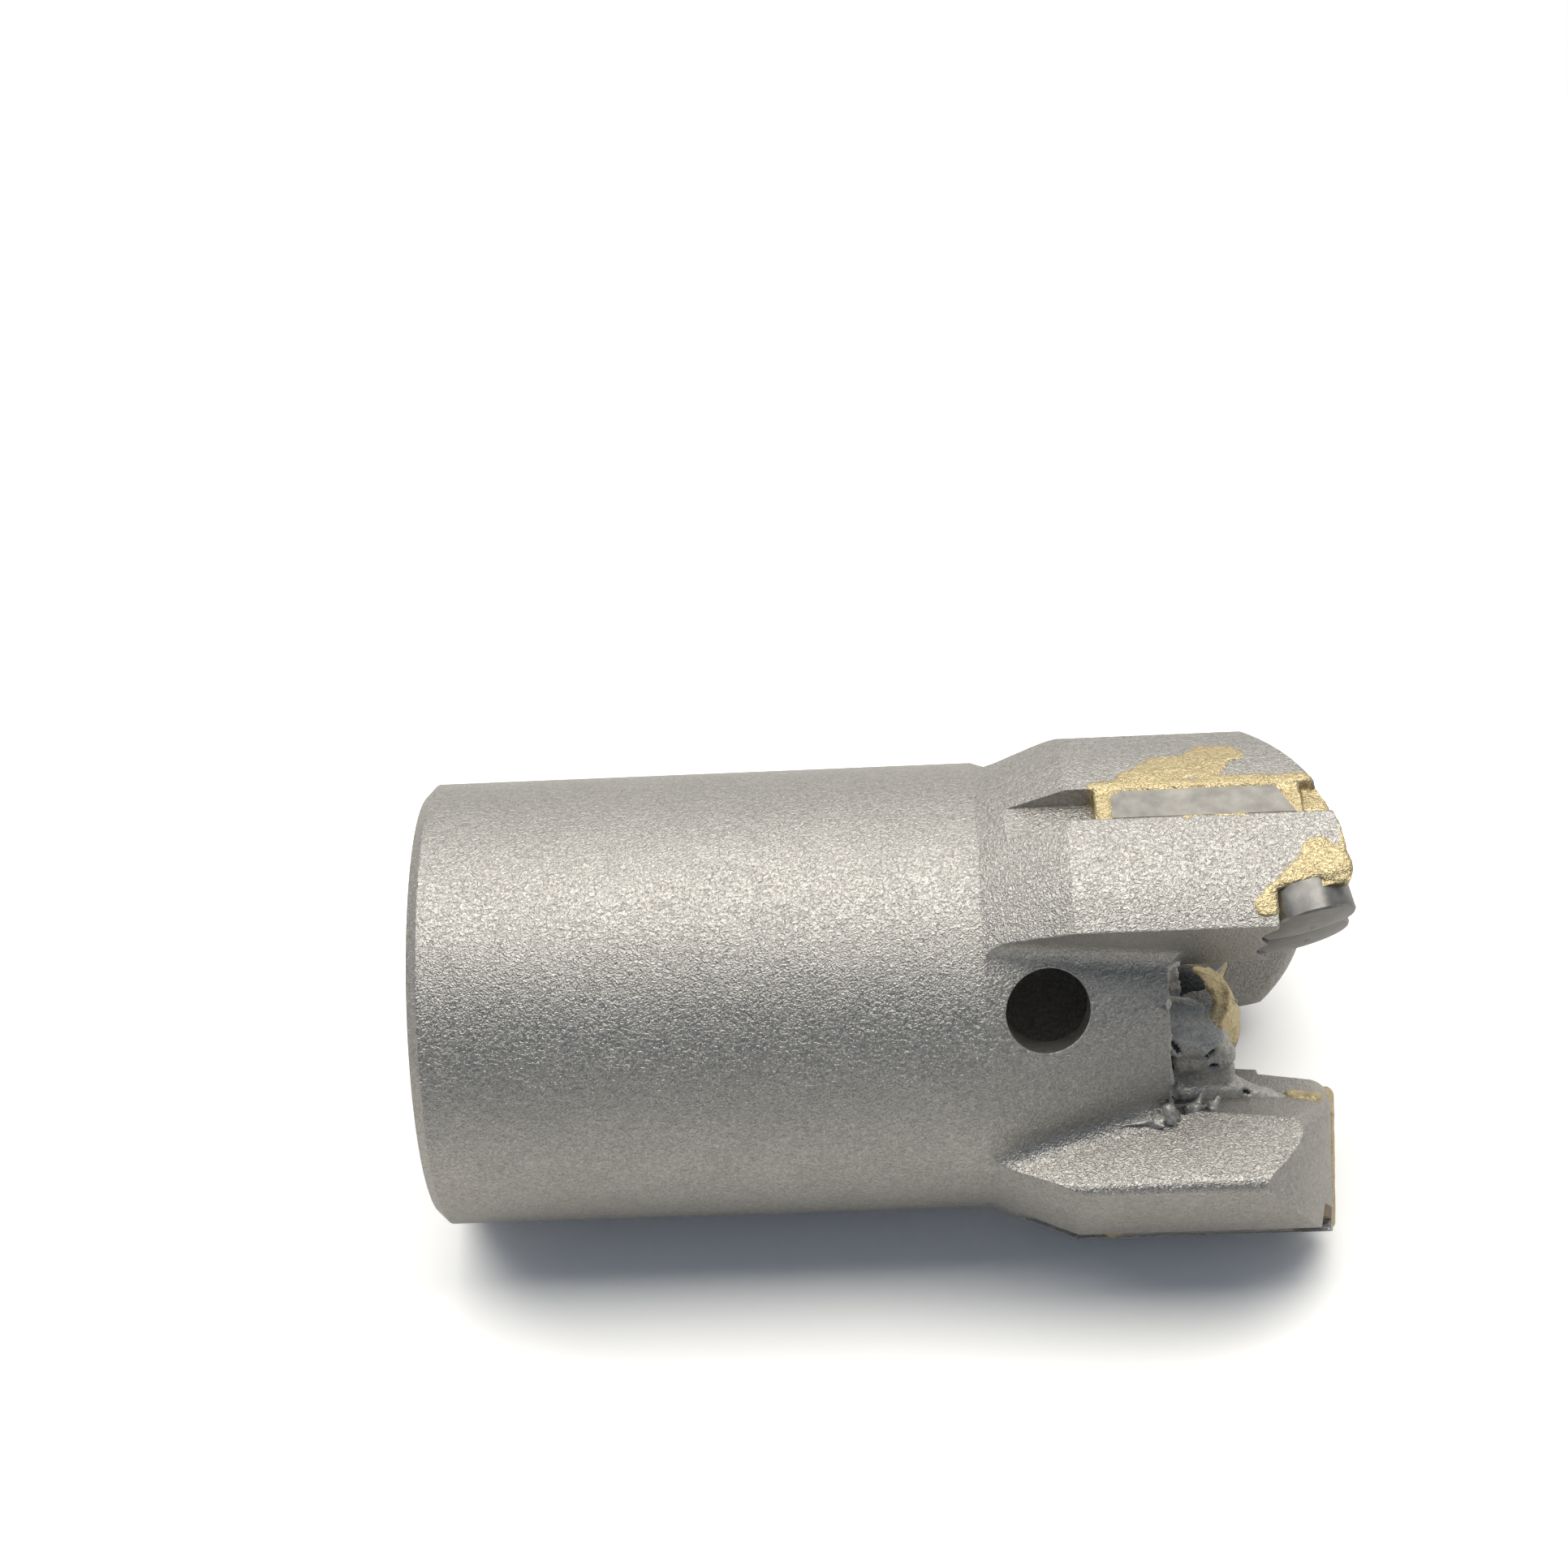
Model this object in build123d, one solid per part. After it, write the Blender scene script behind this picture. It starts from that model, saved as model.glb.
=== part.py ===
"""Three-wing PDC drag bit of 75 mm gauge: a turned and milled steel body with a box-thread
socket, a welded-in core plug with two cutter posts, eight brazed PDC cutters and three
carbide gauge inserts.

Everything is modelled upright first, with the socket mouth on z = 0, the bit axis on +Z and
the cutting face up, and is then laid down: the axis becomes +X and one wing points up.
A wing is drawn with its cutter faces on the XZ plane, looking towards +Y, and trailing
towards -Y. Millimetres and degrees.
"""
import os
from math import asin, cos, degrees, radians, sin, sqrt, tan

from build123d import *

# ---------------------------------------------------------------- driving dimensions
# turned body
gauge_diameter = 75.0
shank_diameter = 64.8
shank_length = 80.0
gauge_cone_length = 12.5
shank_end_chamfer = 1.6
# socket, chamber and web, from the mouth inwards
socket_diameter = 46.0
socket_length = 48.0
socket_mouth_chamfer = 0.5
relief_diameter = 49.0
relief_length = 5.0
chamber_ledge = 3.0
web_thickness = 8.0
# waterways between the wings
waterway_front = 105.6
waterway_front_diameter = 47.4
waterway_fillet = 3.0
side_hole_diameter = 11.8
side_hole_height = 88.7
side_hole_lead = 21.0
# wings
wing_count = 3
wing_span = 56.0
wing_lip = 2.2
wing_inner_distance = 13.4
wing_inner_draft = 4.0
wing_top_height = 129.8
wing_top_flat = 6.5
wing_top_radius = 30.0
wing_tip_round = 1.8
wing_inner_round = 3.0
wing_corner_cut = 3.0
# PDC cutters
cutter_diameter = 13.44
cutter_thickness = 4.5
cutter_dome = 0.7
cutter_edge_chamfer = 0.25
wing_back_rake = 13.0
wing_cutter_exposure = 1.4
wing_cutter_lead = 0.3
wing_cutter_trim = 2.87
joint_gap = 0.12
pocket_gap = 0.1
lip_height_over_seat = 1.8
# braze on the wings
braze_land = 1.4
braze_cover = 3.2
braze_crown = 0.5
# gauge inserts
insert_lag = 27.3
insert_width = 5.2
insert_length = 25.2
insert_thickness = 3.0
insert_start = 98.6
insert_inset = 0.2
insert_end_slant = 25.0
groove_side_gap = 0.3
groove_floor_gap = 0.2
groove_start_back = 2.2
groove_notch_lead = 0.8
# core plug and its cutters
core_diameter = 34.0
core_tip_height = 116.9
core_seam_chamfer = 0.45
long_post_place = (5.2, 2.4)
long_post_heading = 95.5
long_post_rake = 22.0
long_post_length = 17.0
long_post_end_round = 5.5
short_post_place = (-10.0, -2.8)
short_post_heading = -86.6
short_post_rake = 18.0
short_post_length = 7.0
short_post_end_round = 4.0
post_braze_thickness = 0.5
post_braze_land = 2.4
post_braze_tail = 4.0
core_hole_diameter = 8.8
core_hole_places = ((1.8, 11.5), (-6.3, -10.7))
bridge_weld_radius = 3.2
bridge_weld_back = 9.0
# attitude: wing 1 points straight up once the bit lies down, and the core is set by wing 3
first_wing_turn = 180.0
core_wing = 2

# ---------------------------------------------------------------- sizes that follow
gauge_radius = gauge_diameter / 2
shank_radius = shank_diameter / 2
socket_radius = socket_diameter / 2
core_radius = core_diameter / 2
chamber_radius = core_radius + chamber_ledge
cutter_radius = cutter_diameter / 2
gauge_start = shank_length + gauge_cone_length
web_start = waterway_front - web_thickness
wing_step = 360 / wing_count
lip_lead = degrees(asin(wing_lip / gauge_radius))
wing_middle = (lip_lead - wing_span) / 2
far = 2 * gauge_diameter
wing_cutter_offset = cutter_radius - wing_cutter_trim
wing_tip_height = wing_top_height + wing_cutter_exposure
seat_height = wing_tip_height - cutter_diameter * cos(radians(wing_back_rake))
lip_height = seat_height + lip_height_over_seat
blank_top = wing_tip_height + cutter_thickness


# ---------------------------------------------------------------- helpers
def turned(*points):
    """A solid turned about the bit axis from (radius, height) points."""
    return revolve(Plane.XZ * make_face(Polyline(*points, close=True)), Axis.Z)


def along_x(outline, start, length):
    """A prism whose section is drawn in (y, z), reaching from x = start over length."""
    return Pos(start, 0, 0) * extrude(Plane.YZ * outline, length)


def facing(x, y, z, heading, rake):
    """The plane of a cutter face that looks along heading and leans back by rake."""
    level = cos(radians(rake))
    normal = (level * cos(radians(heading)), level * sin(radians(heading)), sin(radians(rake)))
    across = (sin(radians(heading)), -cos(radians(heading)), 0)
    return Plane(origin=(x, y, z), x_dir=across, z_dir=normal)


def on_wing(number, shape):
    """Turn a shape drawn on the pattern wing to wing 0, 1 or 2."""
    return Rot(0, 0, first_wing_turn - wing_middle + number * wing_step) * shape


def lay_down(shape):
    """Turn the upright bit so that its axis runs along +X."""
    return Rot(0, 90, 0) * shape


def one_solid(shape):
    """The single largest solid of a boolean result, free of stray slivers."""
    return max(shape.solids(), key=lambda solid: solid.volume)


# ---------------------------------------------------------------- cutters
def cutter(trim_side=0):
    """A PDC cutter: face rim on local z = 0, domed diamond above, carbide below.

    trim_side -1 or +1 takes a flat off that side of local x, where two cutters meet.
    """
    dome_radius = (cutter_radius**2 + cutter_dome**2) / (2 * cutter_dome)
    rim = cutter_radius - cutter_edge_chamfer
    halfway = sqrt(dome_radius**2 - (rim / 2) ** 2) - (dome_radius - cutter_dome)
    rim_height = sqrt(dome_radius**2 - rim**2) - (dome_radius - cutter_dome)
    outline = make_face(
        [
            Line((0, -cutter_thickness), (cutter_radius, -cutter_thickness)),
            Line((cutter_radius, -cutter_thickness), (cutter_radius, -cutter_edge_chamfer)),
            Line((cutter_radius, -cutter_edge_chamfer), (rim, rim_height)),
            ThreePointArc((rim, rim_height), (rim / 2, halfway), (0, cutter_dome)),
            Line((0, cutter_dome), (0, -cutter_thickness)),
        ]
    )
    disc = revolve(Plane.XZ * outline, Axis.Z)
    if trim_side:
        cut_at = wing_cutter_offset - joint_gap / 2
        waste = Box(cutter_diameter, far, far, align=(Align.MIN, Align.CENTER, Align.CENTER))
        disc -= (Rot(0, 0, 180) if trim_side < 0 else Rot(0, 0, 0)) * Pos(cut_at, 0, 0) * waste
    return disc


def wing_cutter_planes():
    """The face planes of the outer and the inner cutter on the pattern wing."""
    height = wing_tip_height - cutter_radius * cos(radians(wing_back_rake))
    outer_x = gauge_radius - cutter_radius
    inner_x = outer_x - 2 * wing_cutter_offset
    return [facing(x, wing_cutter_lead, height, 90, wing_back_rake) for x in (outer_x, inner_x)]


def core_cutter_plane(place, heading, rake):
    """The face plane of a core cutter whose edge reaches the core tip height."""
    height = core_tip_height - cutter_radius * cos(radians(rake))
    return facing(place[0], place[1], height, heading, rake)


outer_plane, inner_plane = wing_cutter_planes()
long_plane = core_cutter_plane(long_post_place, long_post_heading, long_post_rake)
short_plane = core_cutter_plane(short_post_place, short_post_heading, short_post_rake)


def seat_back(height, ahead=0.0):
    """The y of the plane that the wing cutters lean on, at a height, or so far ahead of it."""
    rake = radians(wing_back_rake)
    centre = outer_plane.origin
    back_y = centre.Y - (cutter_thickness - ahead) * cos(rake)
    back_z = centre.Z - (cutter_thickness - ahead) * sin(rake)
    return back_y - (height - back_z) * tan(rake)


# ---------------------------------------------------------------- body
def turned_blank():
    """The turned outside: shank, cone and full gauge up to above the wing tops."""
    return turned(
        (0, 0),
        (shank_radius - shank_end_chamfer, 0),
        (shank_radius, shank_end_chamfer),
        (shank_radius, shank_length),
        (gauge_radius, gauge_start),
        (gauge_radius, blank_top),
        (0, blank_top),
    )


def hub():
    """What stays between the wings: a cone from the shank in to the flat front of the web."""
    front_radius = waterway_front_diameter / 2
    slope = (shank_radius - front_radius) / (waterway_front - shank_length)
    return turned(
        (0, shank_length / 2),
        (shank_radius + slope * shank_length / 2, shank_length / 2),
        (front_radius, waterway_front),
        (0, waterway_front),
    )


def waterway():
    """The milled gap ahead of the pattern wing, with rounded roots at both flanks."""
    behind = wing_step - wing_span
    corner = (wing_lip / tan(radians(behind)), wing_lip)
    outline = make_face(
        Polyline(
            corner,
            (far, wing_lip),
            (far * cos(radians(behind)), far * sin(radians(behind))),
            close=True,
        )
    )
    gap = Pos(0, 0, shank_length / 2) * extrude(outline, far) - hub()
    flanks = [face for face in gap.faces() if abs(face.normal_at().Z) < 0.01 and is_flank(face)]
    floor_edges = [edge for flank in flanks for edge in flank.edges() if on_floor(edge)]
    return fillet(floor_edges, waterway_fillet)


def is_flank(face):
    """True for the flat side of a waterway that passes near the bit axis."""
    return face.geom_type == GeomType.PLANE and abs(face.center().dot(face.normal_at())) < 2 * wing_lip


def on_floor(edge):
    """True for an edge along the cone or the flat floor of a waterway."""
    middle = edge.position_at(0.5)
    reach = sqrt(middle.X**2 + middle.Y**2)
    front_radius = waterway_front_diameter / 2
    slope = (shank_radius - front_radius) / (waterway_front - shank_length)
    cone_reach = front_radius + slope * (waterway_front - middle.Z)
    on_cone = abs(reach - cone_reach) < 0.05
    on_flat = abs(middle.Z - waterway_front) < 0.05
    return on_cone or on_flat


def crown_hollow():
    """The open middle of the crown: a drafted flat facing each wing, with its leading corner cut."""
    cut_start = wing_lip - wing_corner_cut
    one_side = [
        (wing_inner_distance, cut_start),
        (2 * wing_inner_distance, cut_start + wing_inner_distance),
        (wing_inner_distance, wing_inner_distance * tan(radians(wing_step / 2))),
    ]
    turns = [Rot(0, 0, number * wing_step) for number in range(wing_count)]
    corners = [(turn * Pos(*point, 0)).position for turn in turns for point in one_side]
    outline = make_face(Polyline(*corners, close=True))
    return Pos(0, 0, waterway_front) * extrude(outline, blank_top - waterway_front, taper=-wing_inner_draft)


def wing_top_waste():
    """Everything above a wing: flat behind the cutters, then rolling down to the trailing side."""
    sweep = radians(75)
    turn_y = -wing_top_flat
    low = (turn_y - wing_top_radius * sin(sweep), wing_top_height - wing_top_radius * (1 - cos(sweep)))
    half = (
        turn_y - wing_top_radius * sin(sweep / 2),
        wing_top_height - wing_top_radius * (1 - cos(sweep / 2)),
    )
    above = wing_top_height + far
    outline = make_face(
        [
            Line((far, wing_top_height), (turn_y, wing_top_height)),
            ThreePointArc((turn_y, wing_top_height), half, low),
            Line(low, (-far, low[1])),
            Line((-far, low[1]), (-far, above)),
            Line((-far, above), (far, above)),
            Line((far, above), (far, wing_top_height)),
        ]
    )
    return along_x(outline, 0, far)


def cutter_recess():
    """The step that the wing cutters stand in: a ledge, a leaning back wall and two round seats."""
    above = wing_top_height + cutter_radius
    step = make_face(
        Polyline(
            (seat_back(lip_height), lip_height),
            (seat_back(above), above),
            (far, above),
            (far, lip_height),
            close=True,
        )
    )
    recess = along_x(step, 0, far)
    for plane in (outer_plane, inner_plane):
        seat = Cylinder(
            cutter_radius + pocket_gap,
            far,
            align=(Align.CENTER, Align.CENTER, Align.MIN),
        )
        recess += plane.offset(-cutter_thickness) * seat
    return recess


def groove_box(width, floor_radius, start, length):
    """A radial bar on the insert line, from floor_radius outwards, in upright coordinates."""
    bar = Box(far, width, length, align=(Align.MIN, Align.CENTER, Align.MIN))
    return Rot(0, 0, -insert_lag) * Pos(floor_radius, 0, start) * bar


insert_face_radius = sqrt(gauge_radius**2 - (insert_width / 2) ** 2) - insert_inset
insert_floor_radius = insert_face_radius - insert_thickness
groove_floor_radius = insert_floor_radius - groove_floor_gap
groove_width = insert_width + 2 * groove_side_gap


def side_hole():
    """The radial water hole ahead of the pattern wing."""
    drill = Cylinder(side_hole_diameter / 2, far, align=(Align.CENTER, Align.CENTER, Align.MIN))
    return Rot(0, 0, side_hole_lead) * Pos(0, 0, side_hole_height) * Rot(0, 90, 0) * drill


def inside():
    """Socket, thread relief, chamber and the bore for the core plug."""
    relief_start = socket_length - relief_length
    return turned(
        (0, 0),
        (socket_radius + socket_mouth_chamfer, 0),
        (socket_radius, socket_mouth_chamfer),
        (socket_radius, relief_start),
        (relief_diameter / 2, relief_start),
        (relief_diameter / 2, socket_length),
        (chamber_radius, socket_length),
        (chamber_radius, web_start),
        (core_radius, web_start),
        (core_radius, waterway_front + 1),
        (0, waterway_front + 1),
    )


def tip_waste():
    """What rounds the trailing tip of the pattern wing off where it reaches the full gauge."""
    inset = gauge_radius - wing_tip_round
    along = sqrt(inset**2 - wing_tip_round**2)
    outward = 2 * gauge_radius / inset
    outline = make_face(
        Polyline(
            (along, -wing_tip_round),
            (2 * gauge_radius, -wing_tip_round),
            (outward * along, outward * wing_tip_round),
            (along, wing_tip_round),
            close=True,
        )
    )
    outline -= Pos(along, wing_tip_round) * Circle(wing_tip_round)
    return Rot(0, 0, -wing_span) * extrude(outline, far)


def wing_sector():
    """A wedge of space that holds the pattern wing and no other."""
    ahead = (wing_step - wing_span) / 2
    angles = (ahead, wing_middle, -wing_span - ahead)
    reach = 2 * far
    points = [(reach * cos(radians(a)), reach * sin(radians(a))) for a in angles]
    return extrude(make_face(Polyline((0, 0), *points, close=True)), reach)


def inner_top_edges(body):
    """The edges along which a wing top meets its inner flat."""
    turns = [radians(first_wing_turn - wing_middle + n * wing_step) for n in range(wing_count)]

    def off_flats(point):
        drift = (point.Z - waterway_front) * tan(radians(wing_inner_draft))
        reach = wing_inner_distance + drift
        return min(abs(point.X * cos(turn) + point.Y * sin(turn) - reach) for turn in turns)

    high = body.edges().filter_by(lambda edge: edge.center().Z > lip_height + wing_inner_round)
    along = high.filter_by(lambda edge: max(off_flats(edge @ 0), off_flats(edge @ 0.5), off_flats(edge @ 1)) < 0.02)
    return along.filter_by(lambda edge: abs((edge @ 0).Z - (edge @ 1).Z) < 0.5 * edge.length)


def make_body():
    """The one-piece steel body, upright."""
    body = turned_blank()
    for number in range(wing_count):
        body -= on_wing(number, waterway())
        body -= on_wing(number, tip_waste())
    body -= on_wing(0, crown_hollow())
    for number in range(wing_count):
        body -= on_wing(number, wing_top_waste() & wing_sector())
    body = fillet(inner_top_edges(body), wing_inner_round)
    groove = groove_box(groove_width, groove_floor_radius, shank_length, far)
    for number in range(wing_count):
        body -= on_wing(number, cutter_recess() & wing_sector())
        body -= on_wing(number, groove)
        body -= on_wing(number, side_hole())
    return body - inside()


# ---------------------------------------------------------------- core plug
def above_web():
    """The space over the front face of the web."""
    return Pos(0, 0, waterway_front) * Box(far, far, far, align=(Align.CENTER, Align.CENTER, Align.MIN))


def post(plane, length, end_round):
    """A round-backed post that carries a core cutter and runs back down to the plug."""
    rod = Cylinder(cutter_radius, length, align=(Align.CENTER, Align.CENTER, Align.MAX))
    rod = fillet(rod.edges().group_by(Axis.Z)[0], end_round)
    return plane.offset(-cutter_thickness) * rod


def make_core():
    """The round plug in the web, with its two cutter posts and two water holes."""
    plug = Cylinder(core_radius, web_thickness, align=(Align.CENTER, Align.CENTER, Align.MIN))
    plug = Pos(0, 0, web_start) * chamfer(plug.edges().group_by(Axis.Z)[-1], core_seam_chamfer)
    long_post = post(long_plane, long_post_length, long_post_end_round)
    short_post = post(short_plane, short_post_length, short_post_end_round)
    core = plug + ((long_post + short_post) & above_web())
    seat = Cylinder(cutter_radius + pocket_gap, far, align=(Align.CENTER, Align.CENTER, Align.MIN))
    for plane in (long_plane, short_plane):
        core -= plane.offset(-cutter_thickness) * seat
    for x, y in core_hole_places:
        core -= Pos(x, y, waterway_front) * Cylinder(core_hole_diameter / 2, far)
    return core


# ---------------------------------------------------------------- braze, weld and inserts
def gauge_space(radius):
    """A cylinder of space about the bit axis."""
    return Cylinder(radius, far, align=(Align.CENTER, Align.CENTER, Align.MIN))


def cutter_bead():
    """The raw braze bead that fills in behind and between the cutters of the pattern wing."""
    crown = wing_top_height + braze_crown
    toe = (seat_back(lip_height, ahead=braze_land), lip_height)
    front = (seat_back(wing_top_height, ahead=braze_land), wing_top_height)
    rear = (seat_back(wing_top_height) - braze_cover, wing_top_height - braze_crown)
    heel = (seat_back(lip_height), lip_height)
    outline = make_face(
        [
            Line(toe, front),
            ThreePointArc(front, ((front[0] + rear[0]) / 2, crown), rear),
            Line(rear, heel),
            Line(heel, toe),
        ]
    )
    inner_edge = inner_plane.origin.X - cutter_radius
    return along_x(outline, inner_edge, far) & gauge_space(gauge_radius - insert_inset)


def gauge_insert():
    """A carbide gauge insert with a slanted leading end, on the pattern wing."""
    bar = groove_box(insert_width, insert_floor_radius, insert_start, insert_length)
    face_side = Box(far, far, far, align=(Align.MAX, Align.CENTER, Align.MIN))
    bar &= Rot(0, 0, -insert_lag) * Pos(insert_face_radius, 0, 0) * face_side
    above = Box(far, far, far, align=(Align.CENTER, Align.MAX, Align.MIN))
    end = Pos(0, insert_width / 2, insert_start + insert_length) * Rot(insert_end_slant, 0, 0)
    return bar - Rot(0, 0, -insert_lag) * end * above


def groove_filling():
    """The raw braze filling of the gauge groove on the pattern wing."""
    filling = groove_box(groove_width, groove_floor_radius, insert_start - groove_start_back, far)
    filling &= gauge_space(insert_face_radius - insert_inset)
    notch_floor = insert_floor_radius + insert_thickness / 2
    notch_start = insert_start + insert_length + groove_notch_lead
    notch = groove_box(groove_width, notch_floor, notch_start, far)
    return filling - wing_top_waste() - notch


def post_collar(plane):
    """The raw braze collar where a core cutter joins its post."""
    collar = Cylinder(
        cutter_radius + post_braze_thickness,
        post_braze_land + post_braze_tail,
        align=(Align.CENTER, Align.CENTER, Align.MAX),
    )
    return (plane.offset(post_braze_land - cutter_thickness) * collar) & above_web()


def bridge_weld():
    """The raw weld that ties the long post to the inner side of the nearest wing."""
    rod = Cylinder(bridge_weld_radius, wing_inner_distance, align=(Align.CENTER, Align.CENTER, Align.MIN))
    seat = long_plane.origin
    height = (waterway_front + core_tip_height) / 2
    return Pos(seat.X, seat.Y - bridge_weld_back, height) * Rot(0, 90, 0) * rod


# ---------------------------------------------------------------- assembly
def build():
    """Every node of the bit by name, still upright."""
    body = make_body()
    core = on_wing(core_wing, make_core())
    nodes = {"bit_body": body, "core_plug": core}
    for number in range(wing_count):
        name = f"wing_{number + 1}"
        outer = on_wing(number, outer_plane * cutter(trim_side=-1))
        inner = on_wing(number, inner_plane * cutter(trim_side=1))
        insert = on_wing(number, gauge_insert())
        nodes[f"{name}_outer_cutter"] = outer
        nodes[f"{name}_inner_cutter"] = inner
        nodes[f"{name}_cutter_braze"] = on_wing(number, cutter_bead()) - body - outer - inner
        nodes[f"{name}_gauge_insert"] = insert
        nodes[f"{name}_gauge_braze"] = on_wing(number, groove_filling() - gauge_insert())
    for name, plane in (("long_post", long_plane), ("short_post", short_plane)):
        tip = on_wing(core_wing, plane * cutter())
        nodes[f"{name}_cutter"] = tip
        nodes[f"{name}_braze"] = on_wing(core_wing, post_collar(plane)) - body - core - tip
    weld = on_wing(core_wing, bridge_weld()) - body - core - nodes["long_post_braze"]
    beside = f"wing_{core_wing + 1}"
    nodes["bridge_weld"] = weld - nodes[f"{beside}_inner_cutter"] - nodes[f"{beside}_cutter_braze"]
    return nodes


os.makedirs("parts", exist_ok=True)
for node_name, node in build().items():
    export_step(one_solid(lay_down(node)), f"parts/{node_name}.step")
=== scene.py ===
"""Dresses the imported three-wing drag bit: blasted steel, brass braze, weld and thread, floor, light."""
from math import cos, pi, radians, sin
from random import Random

import bmesh
import bpy
import numpy as np
from mathutils import Matrix, Vector, noise as perlin


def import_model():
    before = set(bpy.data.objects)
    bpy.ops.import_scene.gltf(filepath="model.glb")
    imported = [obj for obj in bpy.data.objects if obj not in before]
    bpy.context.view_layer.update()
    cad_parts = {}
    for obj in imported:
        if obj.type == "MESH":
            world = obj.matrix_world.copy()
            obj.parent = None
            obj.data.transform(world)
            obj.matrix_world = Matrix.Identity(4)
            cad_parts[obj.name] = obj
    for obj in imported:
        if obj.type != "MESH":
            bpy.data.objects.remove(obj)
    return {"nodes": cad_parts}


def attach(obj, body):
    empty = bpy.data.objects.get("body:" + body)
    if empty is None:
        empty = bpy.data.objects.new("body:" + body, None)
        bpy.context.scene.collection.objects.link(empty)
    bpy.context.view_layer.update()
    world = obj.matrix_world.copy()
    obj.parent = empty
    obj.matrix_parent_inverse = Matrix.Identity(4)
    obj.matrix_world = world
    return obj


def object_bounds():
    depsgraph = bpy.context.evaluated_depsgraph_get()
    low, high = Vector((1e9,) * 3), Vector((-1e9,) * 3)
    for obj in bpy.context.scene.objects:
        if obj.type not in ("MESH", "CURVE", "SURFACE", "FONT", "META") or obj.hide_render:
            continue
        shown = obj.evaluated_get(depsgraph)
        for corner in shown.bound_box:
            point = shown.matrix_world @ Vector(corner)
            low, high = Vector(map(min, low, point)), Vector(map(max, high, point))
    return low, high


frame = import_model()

MM = 0.001
cad_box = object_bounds()


# ---------------------------------------------------------------- node helpers
def new_material(name):
    """An empty node material with its Principled shader."""
    material = bpy.data.materials.new(name)
    material.use_nodes = True
    shader = material.node_tree.nodes["Principled BSDF"]
    return material, material.node_tree, shader


def position(tree):
    """The point on the object in metres; every node's origin is the frame's origin."""
    return tree.nodes.new("ShaderNodeTexCoord").outputs["Object"]


def noise(tree, vector, size, detail=3.0, roughness=0.55, distortion=0.0):
    """Noise whose features are about `size` metres across."""
    node = tree.nodes.new("ShaderNodeTexNoise")
    node.inputs["Scale"].default_value = 1 / size
    node.inputs["Detail"].default_value = detail
    node.inputs["Roughness"].default_value = roughness
    node.inputs["Distortion"].default_value = distortion
    tree.links.new(vector, node.inputs["Vector"])
    return node.outputs["Fac"]


def ramp(tree, value, stops):
    """A colour ramp; stops are (position, colour or grey)."""
    node = tree.nodes.new("ShaderNodeValToRGB")
    while len(node.color_ramp.elements) < len(stops):
        node.color_ramp.elements.new(0.5)
    for element, (place, colour) in zip(node.color_ramp.elements, stops):
        element.position = place
        element.color = (*colour, 1) if isinstance(colour, tuple) else (colour, colour, colour, 1)
    tree.links.new(value, node.inputs["Fac"])
    return node.outputs["Color"]


def mix(tree, factor, first, second, mode="MIX"):
    """A colour mix of two links or constants."""
    node = tree.nodes.new("ShaderNodeMix")
    node.data_type = "RGBA"
    node.blend_type = mode
    for socket, value in (("Factor", factor), ("A", first), ("B", second)):
        connect(tree, value, node.inputs[socket])
    return node.outputs["Result"]


def connect(tree, value, socket):
    """Link a socket, or set a constant on it."""
    if isinstance(value, bpy.types.NodeSocket):
        tree.links.new(value, socket)
    elif isinstance(value, tuple):
        socket.default_value = (*value, 1) if len(socket.default_value) == 4 else value
    else:
        socket.default_value = value


def math_node(tree, operation, first, second, third=0.0):
    """A math node of links or constants; only MULTIPLY_ADD uses the third."""
    node = tree.nodes.new("ShaderNodeMath")
    node.operation = operation
    for socket, value in zip(node.inputs, (first, second, third)):
        connect(tree, value, socket)
    return node.outputs["Value"]


def fade(tree, value, start, end, full=1.0):
    """0 up to where the value is `start`, then rising evenly to `full` where it is `end`."""
    node = tree.nodes.new("ShaderNodeMapRange")
    for socket, level in (("From Min", start), ("From Max", end), ("To Min", 0.0), ("To Max", full)):
        node.inputs[socket].default_value = level
    tree.links.new(value, node.inputs["Value"])
    return node.outputs["Result"]


def bump(tree, height, depth, normal=None):
    """A bump of `depth` metres from a height link."""
    node = tree.nodes.new("ShaderNodeBump")
    node.inputs["Distance"].default_value = depth
    tree.links.new(height, node.inputs["Height"])
    if normal:
        tree.links.new(normal, node.inputs["Normal"])
    return node.outputs["Normal"]


# ---------------------------------------------------------------- materials
def soft_edges(tree, radius):
    """A normal that rounds sharp edges off, as blasting does."""
    node = tree.nodes.new("ShaderNodeBevel")
    node.samples = 4
    node.inputs["Radius"].default_value = radius
    return node.outputs["Normal"]


def rust_mask(tree, where):
    """Brown stains low on the wings, where the bit stood in the damp."""
    axes = tree.nodes.new("ShaderNodeSeparateXYZ")
    tree.links.new(where, axes.inputs["Vector"])
    low = fade(tree, axes.outputs["Z"], -27.2 * MM, -31.5 * MM)
    front = fade(tree, axes.outputs["X"], 88 * MM, 100 * MM)
    patch = fade(tree, noise(tree, where, 7 * MM, detail=5.0, roughness=0.7), 0.46, 0.62, full=0.8)
    return math_node(tree, "MULTIPLY", math_node(tree, "MULTIPLY", low, front), patch)


# the finest dimples as shares of the grain's size and height
FINE_SIZE = 0.4
FINE_HEIGHT = 0.3
EDGE_ROUND = 0.35 * MM


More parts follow.
